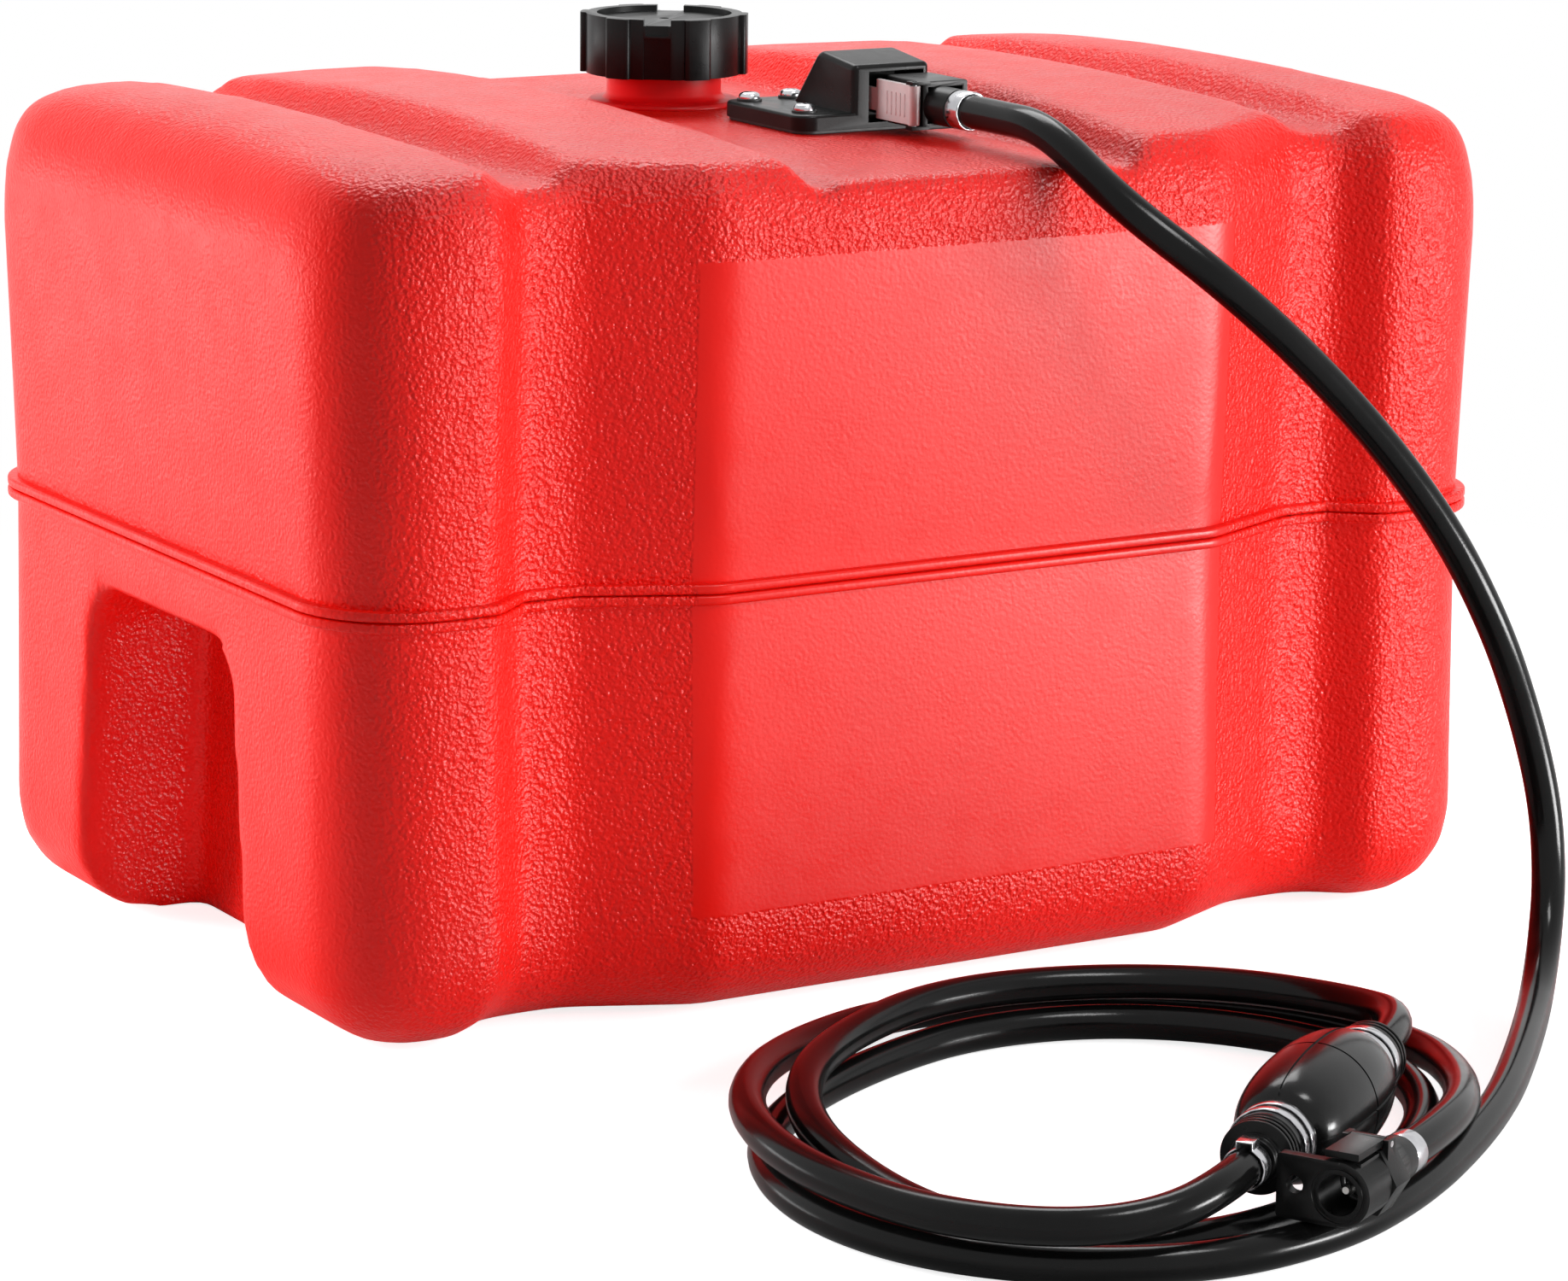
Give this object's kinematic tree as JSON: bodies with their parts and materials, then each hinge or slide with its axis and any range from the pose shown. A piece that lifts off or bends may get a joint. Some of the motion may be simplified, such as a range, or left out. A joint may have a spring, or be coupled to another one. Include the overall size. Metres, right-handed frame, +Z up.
{
  "type": "portable outboard fuel tank",
  "caption": "Portable plastic outboard fuel tank with grip recesses, vented screw cap, outlet fitting, fuel hose, primer bulb and engine connector.",
  "frame": {"origin": "middle of the tank's underside, on the surface it stands on", "axes": "+Z up, +X along the tank's length, -Y the front, towards the hose outlet"},
  "size_m": [0.518, 0.6852, 0.35],
  "materials": {
    "red_tank_plastic": "semi-gloss, lightly grained polyethylene",
    "red_neck_plastic": "moulded, satin",
    "nitrile_rubber": "matt",
    "black_moulding": "satin moulded nylon",
    "spring_steel": "stainless spring wire",
    "aluminium_tube": "drawn tube",
    "white_strainer": "moulded polyamide",
    "bright_screws": "bright stainless",
    "brass_spigot": "turned, nickel-free",
    "grey_latch": "pale grey moulding",
    "fuel_hose": "smooth dark grey fuel hose",
    "bright_bands": "bright stainless strip",
    "bulb_rubber": "matt moulded rubber"
  },
  "bodies": {
    "tank": {"tank_lower_half": "red_tank_plastic", "tank_upper_half": "red_tank_plastic", "filler_neck": "red_neck_plastic", "fitting_seal": "nitrile_rubber", "fitting_housing": "black_moulding", "pickup_tube": "aluminium_tube", "pickup_strainer": "white_strainer", "fitting_screws": "bright_screws", "screw_washers": "bright_screws", "outlet_spigot": "brass_spigot", "spigot_seal_ring": "nitrile_rubber", "outlet_check_spring": "spring_steel", "connector_body": "black_moulding", "latch_pin": "spring_steel", "latch_spring": "spring_steel", "hose_tank_to_bulb": "fuel_hose", "hose_bulb_to_engine": "fuel_hose", "tank_ferrule": "bright_bands", "engine_ferrule": "bright_bands", "hose_clamp": "bright_bands", "primer_bulb": "bulb_rubber", "bulb_bands": "bright_bands", "bulb_inlet_fitting": "black_moulding", "bulb_outlet_fitting": "black_moulding", "engine_connector_body": "black_moulding", "engine_valve_spring": "spring_steel", "engine_seal_ring": "nitrile_rubber", "engine_lever_pin": "spring_steel", "engine_lever_spring": "spring_steel"},
    "cap_seal_ring": {"cap_seal": "nitrile_rubber"},
    "cap": {"cap_body": "black_moulding", "vent_cage": "black_moulding", "vent_spring": "spring_steel"},
    "vent": {"vent_valve": "nitrile_rubber"},
    "outlet_check": {"outlet_check_valve": "black_moulding"},
    "latch": {"connector_latch": "grey_latch"},
    "engine_valve": {"engine_valve_pin": "brass_spigot"},
    "lever": {"engine_lever": "black_moulding"},
    "inlet_disc": {"bulb_inlet_disc": "nitrile_rubber"},
    "outlet_disc": {"bulb_outlet_disc": "nitrile_rubber"}
  },
  "joints": [
    {"name": "cap_lift", "type": "slide", "parent": "tank", "child": "cap_seal_ring", "axis": [0, 0, 1], "range_m": [0, 0.006]},
    {"name": "cap_turn", "type": "hinge", "parent": "cap_seal_ring", "child": "cap", "pos_m": [0, 0.062, 0.34], "axis": [0, 0, 1], "range_deg": [0, 360]},
    {"name": "vent_open", "type": "slide", "parent": "cap", "child": "vent", "axis": [0, 0, -1], "range_m": [0, 0.0015], "stiffness_N_per_m": 60, "deforming": ["vent_spring"]},
    {"name": "outlet_check_open", "type": "slide", "parent": "tank", "child": "outlet_check", "axis": [0, 1, 0], "range_m": [0, 0.003], "stiffness_N_per_m": 60, "deforming": ["outlet_check_spring"]},
    {"name": "latch_press", "type": "hinge", "parent": "tank", "child": "latch", "pos_m": [0.0275, -0.084, 0.3265], "axis": [0, 0, -1], "range_deg": [0, 3], "stiffness_Nm_per_rad": 0.5, "deforming": ["latch_spring"]},
    {"name": "engine_valve_push", "type": "slide", "parent": "tank", "child": "engine_valve", "axis": [0.88, 0.475, 0], "range_m": [0, 0.003], "stiffness_N_per_m": 60, "deforming": ["engine_valve_spring"]},
    {"name": "lever_press", "type": "hinge", "parent": "tank", "child": "lever", "pos_m": [-0.04876, -0.48994, 0.0372], "axis": [0.475, -0.88, 0], "range_deg": [0, 2], "stiffness_Nm_per_rad": 0.5, "deforming": ["engine_lever_spring"]},
    {"name": "inlet_disc_open", "type": "slide", "parent": "tank", "child": "inlet_disc", "axis": [-0.8142, -0.5805, 0], "range_m": [0, 0.002]},
    {"name": "outlet_disc_open", "type": "slide", "parent": "tank", "child": "outlet_disc", "axis": [-0.8142, -0.5805, 0], "range_m": [0, 0.002]}
  ],
  "couplings": [
    {"joint": "cap_lift", "follows": "cap_turn", "m_per_rad": 0.0009549}
  ]
}
